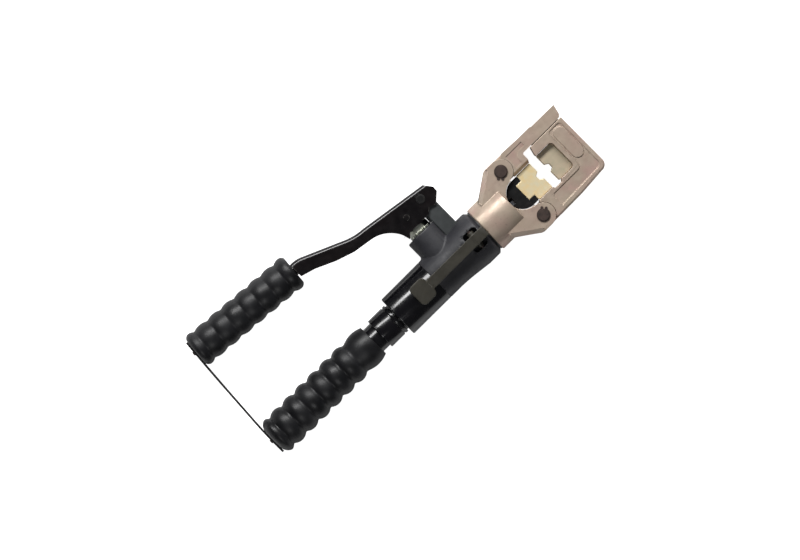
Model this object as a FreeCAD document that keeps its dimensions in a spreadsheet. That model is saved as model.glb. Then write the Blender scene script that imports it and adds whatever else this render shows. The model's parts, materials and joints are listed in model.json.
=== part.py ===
"""A hand-operated hydraulic crimping tool with a hinged and latched die head, lying on its side.

Millimetres. +X runs from the main grip to the die head, +Y points to the pump lever, +Z is up.
The pieces are laid out from the tool's own axes: x from the free end of the main grip, y and z from
the common axis of grip, pump body and ram. Every placement then carries the shift to the part's
origin, which is the middle of the box around the tool, at its lowest level.
"""
import FreeCAD, Part
import math
import os
import re
import Sketcher
from FreeCAD import Placement, Rotation, Vector

DIMENSIONS = {
    # shift from the tool's axes to the part's origin
    "origin_along": 215.5, "origin_across": 46.1, "origin_up": -26.6,
    # working clearances
    "running_gap": 0.05, "seat_gap": 0.02,
    # main grip and handle tube
    "grip_length": 141.0, "grip_crest": 20.9, "grip_valley": 17.2, "grip_pitch": 17.1,
    "grip_end_ring": 12.6, "grip_wall": 8.0, "grip_mouth": 18.1,
    "tube_radius": 14.9, "tube_bore": 12.4, "tube_end": 160.0,
    "collar_start": 150.0, "collar_end": 173.0, "collar_radius": 17.6,
    # reservoir
    "cover_start": 174.8, "cover_radius": 23.7, "cover_bore": 21.3, "neck_radius": 15.8,
    # pump body
    "body_start": 227.2, "body_end": 296.7, "body_radius": 27.2, "body_slim": 23.8,
    "boss_at": 251.5, "boss_radius": 18.5, "boss_top": 43.2, "boss_foot": 3.0,
    "lug_start": 266.7, "lug_width": 16.7, "lug_half": 10.8, "lug_seat": 22.0,
    "pump_bore": 7.5, "gland_radius": 11.0, "gland_depth": 31.0, "gland_top": 51.3, "gland_flats": 10.8,
    "flange_radius": 12.75, "flange_high": 2.2,
    "seal_seat": 26.4, "seal_radius": 9.8,
    "socket_start": 286.0, "socket_radius": 16.8,
    "high_line": 9.0, "relief_line": -12.0, "valve_radius": 4.0, "passage_radius": 1.5,
    # pump lever
    "pivot_x": 274.0, "pivot_y": 67.7, "pivot_pin": 4.0, "link_x": 250.8, "link_y": 64.0, "link_pin": 3.0,
    "cheek_inside": 11.1, "cheek_outside": 13.9, "web_wall": 2.5,
    "bend_radius": 4.2,
    "lever_grip_x": 6.9, "lever_grip_y": 116.7, "lever_grip_tilt": -4.77, "lever_grip_length": 127.5,
    "lever_crest": 18.65, "lever_valley": 16.4, "lever_pitch": 17.2, "lever_end_ring": 11.3,
    "lever_rod": 6.5, "lever_rod_end": 134.0, "lever_wall": 6.0, "pivot_pin_half": 15.6,
    # keeper strap
    "strap_width": 5.0, "strap_thick": 2.2, "strap_screw": 1.5,
    # release lever and valve
    "release_x": 284.6, "release_z": 22.0, "release_pin": 2.0, "release_half": 5.6, "knuckle": 3.9,
    "recess_half": 11.0, "trunnion_half": 9.2,
    "valve_x": 271.5, "valve_pin": 2.0, "bar_under": 28.9, "pad_under": 31.2, "pad_thick": 4.0,
    # head frame
    "head_start": 298.0, "barrel_end": 334.4, "barrel_radius": 26.4, "fork_half": 19.0,
    "pin_x": 350.0, "pin_y": 30.3, "pin_radius": 6.0, "boss_arc": 12.6, "clear_arc": 12.9,
    "slot_half": 16.8, "slot_x": 350.9, "clevis_half": 8.2, "clevis_start": 336.5, "tongue_half": 7.9,
    "tongue_arc": 12.2, "cylinder_radius": 15.0, "cylinder_start": 302.0, "rod_radius": 9.0,
    # ram and dies
    "piston_start": 307.0, "piston_length": 8.0, "holder_front": 350.4, "die_half": 16.6, "die_thick": 13.0,
    "prong_inside": 9.8, "prong_outside": 16.2, "prong_end": 357.7, "lower_face": 376.2, "upper_face": 385.9,
    "upper_back": 406.3, "nest_depth": 4.1, "nest_mouth": 4.75, "nest_floor": 2.37,
    # yoke and latch
    "jaw_half": 19.0, "panel_depth": 1.2, "yoke_end": 431.0, "leg_top": 27.2, "leg_start": 385.9,
    "die_pocket": 406.5, "latch_under": 28.0, "hook_start": 415.3, "hook_depth": 2.4, "hook_gap": 1.4,
    "badge_x": 418.9, "badge_y": 4.0, "badge_half": 19.0, "badge_radius": 6.4, "badge_height": 0.8,
}

doc = FreeCAD.newDocument("crimping_tool")
sheet = doc.addObject("Spreadsheet::Sheet", "Dims")
for row, (alias, size) in enumerate(DIMENSIONS.items(), start=1):
    sheet.set(f"A{row}", alias)
    sheet.set(f"B{row}", str(size))
    sheet.setAlias(f"B{row}", alias)
doc.recompute()

exported = []


# ---------------------------------------------------------------- drawing helpers
def formula(text):
    """An expression on the sheet's aliases, as FreeCAD reads it."""
    return re.sub(r"[a-z_]{4,}", lambda word: f"Dims.{word[0]}" if word[0] in DIMENSIONS else word[0], str(text))


def number(text):
    return float(sheet.evalExpression(formula(text)))


def bind(thing, path, text):
    thing.setExpression(path, formula(text))


def settle(thing, at=(0, 0, 0), turn=None):
    """Place a sub-part by its own place on the tool's axes, bound to the sheet."""
    if turn:
        thing.Placement = Placement(Vector(), Rotation(*turn))
    for letter, place, origin in zip("xyz", at, ("origin_along", "origin_across", "origin_up")):
        bind(thing, f"Placement.Base.{letter}", f"{place} - {origin}")


def keep(thing):
    """Make a document object a node of the assembly."""
    exported.append(thing)
    return thing


def new_body(label, at=(0, 0, 0), turn=None):
    body = doc.addObject("PartDesign::Body", label)
    body.Label = label
    settle(body, at, turn)
    return keep(body)


def origin_plane(body, role):
    return next(feature for feature in body.Origin.OriginFeatures if feature.Role == role)


def sketch(body, plane="XY_Plane", at=(0, 0, 0), tilt=None, facing=None):
    """An empty sketch on one of the body's own planes; at, tilt and facing are in the plane's own frame."""
    drawing = body.newObject("Sketcher::SketchObject", f"{body.Name}_sketch")
    drawing.AttachmentSupport = [(origin_plane(body, plane), "")]
    drawing.MapMode = "FlatFace"
    if tilt:
        drawing.AttachmentOffset = Placement(Vector(), Rotation(Vector(0, 0, 1), number(tilt)))
    if facing:
        drawing.AttachmentOffset = Placement(Vector(), facing)
    for letter, place in zip("xyz", at):
        bind(drawing, f"AttachmentOffset.Base.{letter}", place)
    return drawing


def arc_between(start, end, radius):
    """The short arc from start to end; a positive radius turns to the left, a negative one to the right."""
    chord = end - start
    rise = math.sqrt(max(radius * radius - chord.Length ** 2 / 4, 0))
    side = Vector(-chord.y, chord.x, 0).normalize() * math.copysign(rise, radius)
    centre = (start + end) / 2 + side
    first, last = (start, end) if radius > 0 else (end, start)
    angles = [math.atan2(point.y - centre.y, point.x - centre.x) for point in (first, last)]
    return Part.ArcOfCircle(Part.Circle(centre, Vector(0, 0, 1), abs(radius)), *angles)


def outline(drawing, points):
    """Draw a closed outline. A point is (x, y), or (x, y, radius) when an arc leads to it."""
    spots = [Vector(number(point[0]), number(point[1]), 0) for point in points]
    first = drawing.GeometryCount
    heads = []
    count = len(points)
    for index in range(count):
        target = points[(index + 1) % count]
        start, end = spots[index], spots[(index + 1) % count]
        if len(target) == 3:
            radius = number(target[2])
            drawing.addGeometry(arc_between(start, end, radius), False)
            heads.append((1, 2) if radius > 0 else (2, 1))
        else:
            drawing.addGeometry(Part.LineSegment(start, end), False)
            heads.append((1, 2))
    for index in range(count):
        here, after = first + index, first + (index + 1) % count
        drawing.addConstraint(Sketcher.Constraint("Coincident", here, heads[index][1], after,
                                                  heads[(index + 1) % count][0]))
        for kind, place, value in zip(("DistanceX", "DistanceY"), points[index], spots[index]):
            rule = drawing.addConstraint(Sketcher.Constraint(kind, -1, 1, here, heads[index][0], value))
            if not isinstance(place, (int, float)):
                bind(drawing, f"Constraints[{rule}]", place)
        target = points[(index + 1) % count]
        if len(target) == 3:
            rule = drawing.addConstraint(Sketcher.Constraint("Radius", here, abs(number(target[2]))))
            if not isinstance(target[2], (int, float)):
                bind(drawing, f"Constraints[{rule}]", f"abs({target[2]})")
    return drawing


def circle(drawing, x, y, radius):
    """Draw a circle whose place and size are bound to the sheet."""
    index = drawing.addGeometry(Part.Circle(Vector(number(x), number(y), 0), Vector(0, 0, 1), number(radius)), False)
    for kind, place in (("DistanceX", x), ("DistanceY", y)):
        rule = drawing.addConstraint(Sketcher.Constraint(kind, -1, 1, index, 3, number(place)))
        bind(drawing, f"Constraints[{rule}]", place)
    rule = drawing.addConstraint(Sketcher.Constraint("Radius", index, number(radius)))
    bind(drawing, f"Constraints[{rule}]", radius)
    return drawing


def worked(feature):
    """Recompute, and stop at a feature that failed."""
    doc.recompute()
    if "Invalid" in feature.State or "Error" in feature.State or feature.Shape.isNull():
        raise RuntimeError(f"{feature.Name} failed: {feature.State}")
    return feature


def add(body, drawing, length):
    """Pad a sketch to both sides of its plane."""
    feature = body.newObject("PartDesign::Pad", f"{body.Name}_pad")
    feature.Profile = drawing
    feature.SideType = "Symmetric"
    bind(feature, "Length", length)
    return worked(feature)


def cut(body, drawing, length):
    """Pocket a sketch to both sides of its plane, and make sure that something was cut."""
    before = body.Shape.Volume
    feature = body.newObject("PartDesign::Pocket", f"{body.Name}_pocket")
    feature.Profile = drawing
    feature.SideType = "Symmetric"
    bind(feature, "Length", length)
    worked(feature)
    if not body.Shape.Volume < before - 1e-3:
        raise RuntimeError(f"{feature.Name} cuts nothing")
    return feature


def spin(body, drawing, axis="H_Axis"):
    """Turn a sketch once round one of its own axes."""
    feature = body.newObject("PartDesign::Revolution", f"{body.Name}_turn")
    feature.Profile = drawing
    feature.ReferenceAxis = (drawing, [axis])
    feature.Angle = 360
    return worked(feature)


def bore(body, drawing, axis="H_Axis"):
    """Turn a sketch once round one of its own axes and take it away."""
    before = body.Shape.Volume
    feature = body.newObject("PartDesign::Groove", f"{body.Name}_bore")
    feature.Profile = drawing
    feature.ReferenceAxis = (drawing, [axis])
    feature.Angle = 360
    worked(feature)
    if not body.Shape.Volume < before - 1e-3:
        raise RuntimeError(f"{feature.Name} cuts nothing")
    return feature


def turned(label, points, at=(0, 0, 0), turn=None):
    """A piece turned about its own X axis from an outline of (x, radius) points."""
    body = new_body(label, at, turn)
    spin(body, outline(sketch(body), points))
    return body


def rounded(body, radius, wanted):
    """Round the edges that the test picks from the body's last feature."""
    tip = body.Tip
    names = [f"Edge{i}" for i, edge in enumerate(tip.Shape.Edges, start=1) if wanted(edge)]
    feature = body.newObject("PartDesign::Fillet", f"{body.Name}_round")
    feature.Base = (tip, names)
    feature.Radius = radius
    return worked(feature)


def bevelled(body, size, wanted):
    """Bevel the edges that the test picks from the body's last feature."""
    tip = body.Tip
    names = [f"Edge{i}" for i, edge in enumerate(tip.Shape.Edges, start=1) if wanted(edge)]
    feature = body.newObject("PartDesign::Chamfer", f"{body.Name}_bevel")
    feature.Base = (tip, names)
    feature.Size = size
    return worked(feature)


def sloped(body, start, end, side, level, bevel, length):
    """Slope both faces of a plate, at z = level and -level, down to its edge from start to end.

    side is 1 where the plate ends on the left of that line; bevel is the slope's (width, depth).
    """
    along = (end - start).normalize()
    facing = Rotation(Vector(0, 0, side).cross(along), Vector(0, 0, side), along, "ZXY")
    middle = (start + end) / 2
    width, depth = bevel
    for face in (1, -1):
        top, foot = face * (level + 1), face * (level - depth - 1)
        wedge = [(width / depth, foot), (width + 2, foot), (width + 2, top), (-width - width / depth, top)]
        cut(body, outline(sketch(body, at=(middle.x, middle.y, 0), facing=facing), wedge), length)


def on_face(level, tolerance=1e-3):
    """An edge test: the whole edge lies in the two planes z = level and z = -level."""
    def test(edge):
        box = edge.BoundBox
        flat = box.ZLength < tolerance
        return flat and abs(abs(box.ZMin) - level) < tolerance
    return test


def sleeve(x_start, x_end, inside, outside):
    """The outline of a plain ring, or of a disc when inside is 0."""
    return [(x_start, inside), (x_start, outside), (x_end, outside), (x_end, inside)]


def ball(label, radius, at):
    sphere = doc.addObject("Part::Sphere", label)
    sphere.Label = label
    bind(sphere, "Radius", radius)
    settle(sphere, at)
    return keep(sphere)


def coil(label, mean_radius, wire, length, turns, at, turn=None):
    """A helical compression spring that starts at its place and runs along its own Z axis."""
    spine = doc.addObject("Part::Helix", f"{label}_spine")
    bind(spine, "Radius", mean_radius)
    bind(spine, "Height", length)
    bind(spine, "Pitch", f"({length}) / {turns}")
    section = doc.addObject("Part::Circle", f"{label}_section")
    bind(section, "Radius", wire)
    section.Placement = Placement(Vector(number(mean_radius), 0, 0), Rotation(Vector(1, 0, 0), 90))
    bind(section, "Placement.Base.x", mean_radius)
    spring = doc.addObject("Part::Sweep", label)
    spring.Label = label
    spring.Sections = [section]
    doc.recompute()
    spring.Spine = (spine, [f"Edge{i}" for i in range(1, len(spine.Shape.Edges) + 1)])
    spring.Solid = True
    spring.Frenet = True
    settle(spring, at, turn)
    return keep(spring)


ALONG_Y = (Vector(0, 0, 1), 90)
ALONG_Z = (Vector(0, 1, 0), -90)
COIL_ALONG_X = (Vector(0, 1, 0), 90)


# ---------------------------------------------------------------- grips, handle and strap
def ringed(start, pitch, valley, radius, count):
    """Points of a row of barrel-shaped rings, each an arc from valley to valley."""
    return [(f"{start} + {pitch} * {i + 1}", valley, f"-({radius})") for i in range(count)]


def make_main_grip():
    bulge = "(grip_pitch^2 / 4 + (grip_crest - grip_valley)^2) / (2 * (grip_crest - grip_valley))"
    profile = [
        (0, "strap_screw + 0.1"), (0, 10.5), (7.2, "grip_crest - 0.25", -10.6), ("grip_end_ring", "grip_valley", -9),
        *ringed("grip_end_ring", "grip_pitch", "grip_valley", bulge, 6),
        ("grip_length", "grip_mouth", -28), ("grip_length", "tube_radius + running_gap"),
        ("grip_wall", "tube_radius + running_gap"), ("grip_wall", "strap_screw + 0.1"),
    ]
    turned("main_grip", profile)


def make_handle():
    turned("handle_tube", sleeve("grip_wall + 0.05", "tube_end", "tube_bore", "tube_radius"))
    turned("handle_end_plug", sleeve("grip_wall + 0.1", "grip_wall + 9", "strap_screw + 0.05", "tube_bore - 0.05"))
    collar = [
        ("collar_start", "tube_radius + running_gap"), ("collar_start", "collar_radius - 0.6"),
        ("collar_start + 0.6", "collar_radius"), ("collar_start + 18.5", "collar_radius"),
        ("collar_start + 18.5", "collar_radius - 0.9"), ("collar_start + 20", "collar_radius - 0.9"),
        ("collar_start + 20", "collar_radius"), ("collar_end", "collar_radius"), ("collar_end", "neck_radius"),
        ("cover_start + 9", "neck_radius"), ("cover_start + 9", "neck_radius - 3"),
        ("tube_end + 0.1", "neck_radius - 3"), ("tube_end + 0.1", "tube_radius + running_gap"),
    ]
    turned("tube_collar", collar)


def make_lever_grip():
    bulge = "(lever_pitch^2 / 4 + (lever_crest - lever_valley)^2) / (2 * (lever_crest - lever_valley))"
    profile = [
        (0, "strap_screw + 0.1"), (0, 15), (5.2, "lever_crest + 0.3", -6), ("lever_end_ring", "lever_valley", -9),
        *ringed("lever_end_ring", "lever_pitch", "lever_valley", bulge, 6),
        ("lever_grip_length - 5.5", "lever_crest + 0.4", -12), ("lever_grip_length", "lever_valley - 0.8", -6.5),
        ("lever_grip_length", "lever_rod + running_gap"), ("lever_wall", "lever_rod + running_gap"),
        ("lever_wall", "strap_screw + 0.1"),
    ]
    turned("lever_grip", profile, ("lever_grip_x", "lever_grip_y", 0), (Vector(0, 0, 1), number("lever_grip_tilt")))


STRAP_ROUTE = [(6.75, 129.8), (4.15, 98), (2.3, 70), (0.5, 40), (-1.15, 12), (-1.15, -11), (-0.95, -15.6)]


def band(route, thick):
    """The outline of a flat band that follows a route, from its left side round to its right."""
    left, right = [], []
    for index, (x, y) in enumerate(route):
        before, after = route[max(index - 1, 0)], route[min(index + 1, len(route) - 1)]
        run = Vector(after[0] - before[0], after[1] - before[1], 0).normalize()
        offset = Vector(-run.y, run.x, 0) * (thick / 2)
        left.append((x + offset.x, y + offset.y))
        right.append((x - offset.x, y - offset.y))
    return left + right[::-1]


def make_strap():
    """A flat rubber strap, screwed to the two grips' ends and lying over their end faces."""
    body = new_body("keeper_strap")
    add(body, outline(sketch(body), band(STRAP_ROUTE, number("strap_thick"))), "strap_width")
    rounded(body, 0.3, on_face(number("strap_width") / 2))
    for x, y, tilt in ((0, 0, 0), ("lever_grip_x", "lever_grip_y", "lever_grip_tilt")):
        hole = outline(sketch(body, at=(x, y, 0), tilt=tilt), [(-8, 0), (8, 0), (8, 1.6), (-8, 1.6)])
        bore(body, hole)
    for label, seat, end, at, tilt in (
        ("strap_screw", -2.35, "grip_wall + 8.5", (0, 0, 0), 0),
        ("strap_stud", -2.45, "lever_wall + 10", ("lever_grip_x", "lever_grip_y", 0), "lever_grip_tilt"),
    ):
        screw = [
            (seat - 1.05, 0), (seat - 1.05, 1.6), (seat - 0.5, 2.4), (seat, 2.4), (seat, "strap_screw"),
            (end, "strap_screw"), (end, 0),
        ]
        turned(label, screw, at, (Vector(0, 0, 1), number(tilt)))


# ---------------------------------------------------------------- reservoir
def make_reservoir():
    cover = [
        ("cover_start", "neck_radius + seat_gap"), ("cover_start", "cover_radius - 0.8"),
        ("cover_start + 0.8", "cover_radius"), ("body_start", "cover_radius"), ("body_start", "cover_bore"),
        ("cover_start + 4", "cover_bore"), ("cover_start + 4", "neck_radius + seat_gap"),
    ]
    turned("reservoir_cover", cover)
    bladder = [
        (186, 5.05), (186, 18.5), (188, 20.4, -2.2), (207, 20.4), (210, 17.6), (219.5, 17.6), (219.5, 16.05),
        (208.5, 16.05), (206, 18.9), (188.6, 18.9), (187.6, 18), (187.6, 8), (192, 8), (192, 5.05),
    ]
    turned("oil_bladder", bladder)
    turned("bladder_clip", sleeve(212, 217, 17.65, 18.9))
    plug = [(184.2, 0), (184.2, 7.5), (185.9, 7.5), (185.9, 5), (191.5, 5), (191.5, 0)]
    turned("oil_filler_plug", plug)


# ---------------------------------------------------------------- pump body and what it holds
def around_boss(edge):
    """An edge test: where the boss meets the round of the body."""
    box = edge.BoundBox
    return box.ZLength > 3 and 12 < box.YMin and box.YMax < 30 and abs(box.Center.x - number("boss_at")) < 20


def make_pump_body():
    body = new_body("pump_body")
    shell = [
        (210, 0), (210, 16), (221, 16), (221, "cover_bore - seat_gap"), ("body_start", "cover_bore - seat_gap"),
        ("body_start", "body_slim"), (243, "body_slim"), (262, 25.2), (279, "body_radius"),
        ("body_end - 3.5", "body_radius"),
        ("body_end", "body_radius - 3.5"), ("body_end", "socket_radius + seat_gap"),
        ("socket_start", "socket_radius + seat_gap"), ("socket_start", 0),
    ]
    spin(body, outline(sketch(body), shell))
    boss = [
        (0, 0), ("boss_radius", 0), ("boss_radius", "boss_top - 1"), ("boss_radius - 1", "boss_top"), (0, "boss_top"),
    ]
    spin(body, outline(sketch(body, at=("boss_at", 0, 0)), boss), "V_Axis")
    rounded(body, number("boss_foot"), around_boss)
    end = "lug_start + lug_width + 0.05"
    seat = [("lug_start - 0.05", "lug_seat"), (end, "lug_seat"), (end, 46), ("lug_start - 0.05", 46)]
    cut(body, outline(sketch(body), seat), "2 * lug_half + 0.1")
    cut(body, outline(sketch(body, "XZ_Plane"), [(205, -40), (300, -40), (300, "origin_up"), (205, "origin_up")]), 80)
    left, right, corner = "release_x - 8.6", "release_x + 7.4", 3
    recess = [
        (f"{left} + {corner}", "-recess_half", corner), (f"{right} - {corner}", "-recess_half"),
        (right, f"-recess_half + {corner}", corner), (right, f"recess_half - {corner}"),
        (f"{right} - {corner}", "recess_half", corner), (f"{left} + {corner}", "recess_half"),
        (left, f"recess_half - {corner}", corner), (left, f"-recess_half + {corner}"),
    ]
    cut(body, outline(sketch(body, at=(0, 0, 24.4)), recess), 13)
    cut(body, circle(sketch(body, "XZ_Plane"), "release_x", "release_z", "release_pin + seat_gap"), 26)
    pump = [
        (0, 7), (0, 60), ("gland_radius + seat_gap", 60), ("gland_radius + seat_gap", "gland_depth"),
        ("seal_radius + running_gap", "gland_depth"), ("seal_radius + running_gap", "seal_seat"),
        ("pump_bore + running_gap", "seal_seat"), ("pump_bore + running_gap", 7),
    ]
    bore(body, outline(sketch(body, at=("boss_at", 0, 0)), pump), "V_Axis")
    valve = "valve_radius + seat_gap"
    suction = [
        (209, 0), (209, valve), (231, valve), (231, "passage_radius"), ("boss_at", "passage_radius"), ("boss_at", 0),
    ]
    bore(body, outline(sketch(body, at=(0, "high_line", 0)), suction))
    discharge = [
        ("boss_at", 0), ("boss_at", "passage_radius"), (264, "passage_radius"), (264, valve),
        ("socket_start + 1", valve), ("socket_start + 1", 0),
    ]
    bore(body, outline(sketch(body, at=(0, "high_line", 0)), discharge))
    relief = [
        (209, 0), (209, valve), (236, valve), (236, "passage_radius"), ("socket_start + 1", "passage_radius"),
        ("socket_start + 1", 0),
    ]
    bore(body, outline(sketch(body, at=(0, "relief_line", 0)), relief))
    release = [
        (0, -30), (valve, -30), (valve, 2), ("valve_pin + running_gap", 2), ("valve_pin + running_gap", 30), (0, 30),
    ]
    bore(body, outline(sketch(body, "XZ_Plane", at=("valve_x", 0, 0)), release), "V_Axis")
    lock = [(0, -30), (2.52, -30), (2.52, -17), (0, -17)]
    bore(body, outline(sketch(body, "XZ_Plane", at=("socket_start + 5", 0, 0)), lock), "V_Axis")


def make_bracket():
    """The lug that carries the pump lever: a block that narrows to a tongue round the pivot."""
    body = new_body("lever_bracket")
    left, right = "lug_start", "lug_start + lug_width"
    profile = [
        (left, "lug_seat"), (right, "lug_seat"), (right, 54), ("pivot_x + 6.9", 61.5), ("pivot_x + 6.9", "pivot_y"),
        ("pivot_x", "pivot_y + 6.9", 6.9), ("pivot_x - 6.9", "pivot_y", 6.9), ("pivot_x - 6.9", 61.5), (left, 54),
    ]
    add(body, outline(sketch(body), profile), "2 * lug_half")
    bevelled(body, 0.8, lambda edge: on_face(number("lug_half"))(edge) and edge.BoundBox.YMin > number("lug_seat") + 1)
    web = [(264.35, "boss_top + 0.1"), ("lug_start + 1", "boss_top + 0.1"), ("lug_start + 1", 52), (264.35, 50.6)]
    add(body, outline(sketch(body), web), 15)
    cut(body, circle(sketch(body), "pivot_x", "pivot_y", "pivot_pin + seat_gap"), 40)
    half = number("pivot_pin_half")
    groove = [(half - 1.25, "pivot_pin"), (half - 1.25, "pivot_pin - 0.6"), (half - 0.45, "pivot_pin - 0.6")]
    back = [(-x, radius) for x, radius in reversed(groove)]
    ends = [(half - 0.45, "pivot_pin"), (half, "pivot_pin - 0.4"), (half, 0)]
    start = [(-x, radius) for x, radius in reversed(ends)]
    turned("lever_pivot_pin", start + back + groove + ends, ("pivot_x", "pivot_y", 0), ALONG_Z)


def make_gland():
    body = new_body("gland_nut", ("boss_at", 0, 0), ALONG_Y)
    thread = sleeve("gland_depth + 0.1", "boss_top", "pump_bore + running_gap", "gland_radius")
    spin(body, outline(sketch(body), thread))
    corner = "gland_flats / cos(30)"
    hexagon = [(f"{corner} * cos({60 * i})", f"{corner} * sin({60 * i})") for i in range(6)]
    across = outline(sketch(body, "YZ_Plane", at=(0, 0, "(boss_top + gland_top) / 2")), hexagon)
    add(body, across, "gland_top - boss_top")
    spin(body, outline(sketch(body), sleeve("boss_top", "boss_top + flange_high", "gland_radius - 1", "flange_radius")))
    for step in range(12):
        spot = [f"(flange_radius + 0.3) * {turn(math.radians(30 * step + 15)):.5f}" for turn in (math.cos, math.sin)]
        cut(body, circle(sketch(body, "YZ_Plane", at=(0, 0, "boss_top")), *spot, 1.3), 8)
    hollow = sleeve("boss_top - 1", "gland_top + 1", 0, "pump_bore + running_gap")
    bore(body, outline(sketch(body), hollow))
    corner_radius = number(corner)
    edge_cut = [
        ("gland_top - 1.6", corner_radius + 0.4), ("gland_top + 0.1", corner_radius - 1.8),
        ("gland_top + 0.1", corner_radius + 2), ("gland_top - 1.6", corner_radius + 2),
    ]
    bore(body, outline(sketch(body), edge_cut))
    turned("plunger_seal", sleeve("seal_seat + 0.05", "gland_depth - 0.05", "pump_bore + 0.06", "seal_radius"),
           ("boss_at", 0, 0), ALONG_Y)


def make_plunger():
    body = turned("pump_plunger", [
        (12, 0), (12, "pump_bore - 0.6"), (12.6, "pump_bore"), (69, "pump_bore"), (71, "pump_bore - 2"), (71, 0),
    ], ("boss_at", 0, 0), ALONG_Y)
    end = "link_pin + 1.3"
    height = "link_pin + 0.35"
    slot = [
        (f"link_y - ({height})", 1.3, 3.36), (f"link_y - ({height})", -1.3), ("link_y", f"-({end})", 3.36),
        (f"link_y + ({height})", -1.3, 3.36), (f"link_y + ({height})", 1.3), ("link_y", end, 3.36),
    ]
    cut(body, outline(sketch(body), slot), 40)


def make_valves():
    turned("suction_seat", sleeve(210.5, 214, 1.2, "valve_radius"), (0, "high_line", 0))
    ball("suction_ball", 2.5, (216.25, "high_line", 0))
    coil("suction_spring", 2.6, 0.35, 9.8, 6, (220, "high_line", 0), COIL_ALONG_X)
    ball("discharge_ball", 2.8, (266.45, "high_line", 0))
    coil("discharge_spring", 2.6, 0.35, 8, 6, (270.4, "high_line", 0), COIL_ALONG_X)
    turned("discharge_plug", sleeve(280, 285.5, 1.5, "valve_radius"), (0, "high_line", 0))
    ball("relief_ball", 2.6, (233.8, "relief_line", 0))
    coil("relief_spring", 2.6, 0.5, 10.6, 7, (218.4, "relief_line", 0), COIL_ALONG_X)
    turned("relief_screw", sleeve(211, 217, 1.2, "valve_radius"), (0, "relief_line", 0))
    ball("release_ball", 2.8, ("valve_x", 0, 0))
    coil("release_spring", 2.6, 0.4, 9.7, 6, ("valve_x", 0, -13))
    turned("release_plug", [(-25, 1.5), (-25, "valve_radius"), (-15, "valve_radius"), (-15, 0), (-22, 0), (-22, 1.5)],
           ("valve_x", 0, 0), ALONG_Z)
    pin = [(3, 0), (3, "valve_pin"), (27.8, "valve_pin"), (28.65, "valve_pin - 1.2"), (28.65, 0)]
    turned("release_pin", pin, ("valve_x", 0, 0), ALONG_Z)


def make_release_lever():
    """Thumb pad, bar and the knuckle round its pivot, cast in one."""
    body = new_body("release_lever")
    corner, left, right, half = 5, 201, 220.4, 11.9
    pad = [
        (left + corner, -half, corner), (right - corner, -half), (right, corner - half, corner),
        (right, half - corner), (right - corner, half, corner), (left + corner, half),
        (left, half - corner, corner), (left, corner - half),
    ]
    add(body, outline(sketch(body, at=(0, 0, "pad_under + pad_thick / 2")), pad), "pad_thick")
    top = number("pad_under + pad_thick")
    rounded(body, 0.9, lambda edge: edge.BoundBox.ZMin > top - 1e-3)
    side = [
        (213, "pad_under + 0.2"), (258, "bar_under"), (276, "bar_under"), ("release_x - knuckle", 27.6),
        ("release_x - knuckle", "release_z"), ("release_x", "release_z - knuckle", "knuckle"),
        ("release_x + knuckle", "release_z", "knuckle"), ("release_x + knuckle", 28.1), (298, 28.1),
        (298, 31.2), (293, 31.9), (288.2, 32.2), ("release_x", 32.9), (281, 32.3), (262, 32.7), (222, 34.5), (213, 34.7),
    ]
    add(body, outline(sketch(body, "XZ_Plane"), side), "2 * release_half")
    add(body, circle(sketch(body, "XZ_Plane"), "release_x", "release_z", "knuckle - 0.3"), "2 * trunnion_half")
    cut(body, circle(sketch(body, "XZ_Plane"), "release_x", "release_z", "release_pin + running_gap"), 30)
    turned("release_pivot_pin", sleeve(-12.6, 12.6, 0, "release_pin"), ("release_x", 0, "release_z"), ALONG_Y)


# ---------------------------------------------------------------- pump lever
def upper_bend(edge):
    """An edge test: the lever's two bends, along the upper side of its cheeks."""
    middle = edge.CenterOfMass if hasattr(edge, "CenterOfMass") else edge.BoundBox.Center
    line = 0.148 * (285 - middle.x) + 74 if middle.x > 190 else 0.43 * (190 - middle.x) + 88
    return on_face(number("cheek_outside"))(edge) and middle.y > line


def make_pump_lever():
    body = new_body("pump_lever")
    plate = [
        (135, 96.4), (150, 92), (171, 82.6), (190, 76.4), (211, 73.2), (236, 54.3, -34), (238.4, 46),
        (243, 50.8), (268.4, 50.8), (274.8, 55.6), (281.6, 53), (291.3, 61.7), (291.6, 67.3), (285, 76),
        (212, 86.8), (192, 91.2, -60), (147, 110.6), (135, 112.4, 30),
    ]
    add(body, outline(sketch(body), plate), "2 * cheek_outside")
    rounded(body, number("bend_radius"), upper_bend)
    inside = [
        (130, 40), (300, 40), (300, "73.8 - web_wall"), (212, "86.8 - web_wall"), (191.5, "91 - web_wall"),
        (146.4, "110.4 - web_wall"), (130, "111.8 - web_wall"),
    ]
    cut(body, outline(sketch(body), inside), "2 * cheek_inside")
    rod = outline(sketch(body, at=("lever_grip_x", "lever_grip_y", 0), tilt="lever_grip_tilt"),
                  sleeve("lever_wall + 0.1", "lever_rod_end", "strap_screw + 0.03", "lever_rod"))
    spin(body, rod)
    cut(body, circle(sketch(body), "pivot_x", "pivot_y", "pivot_pin + running_gap"), 40)
    cut(body, circle(sketch(body), "link_x", "link_y", "link_pin + seat_gap"), 40)
    turned("plunger_link_pin", sleeve(-14.7, 14.7, 0, "link_pin"), ("link_x", "link_y", 0), ALONG_Z)


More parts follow.
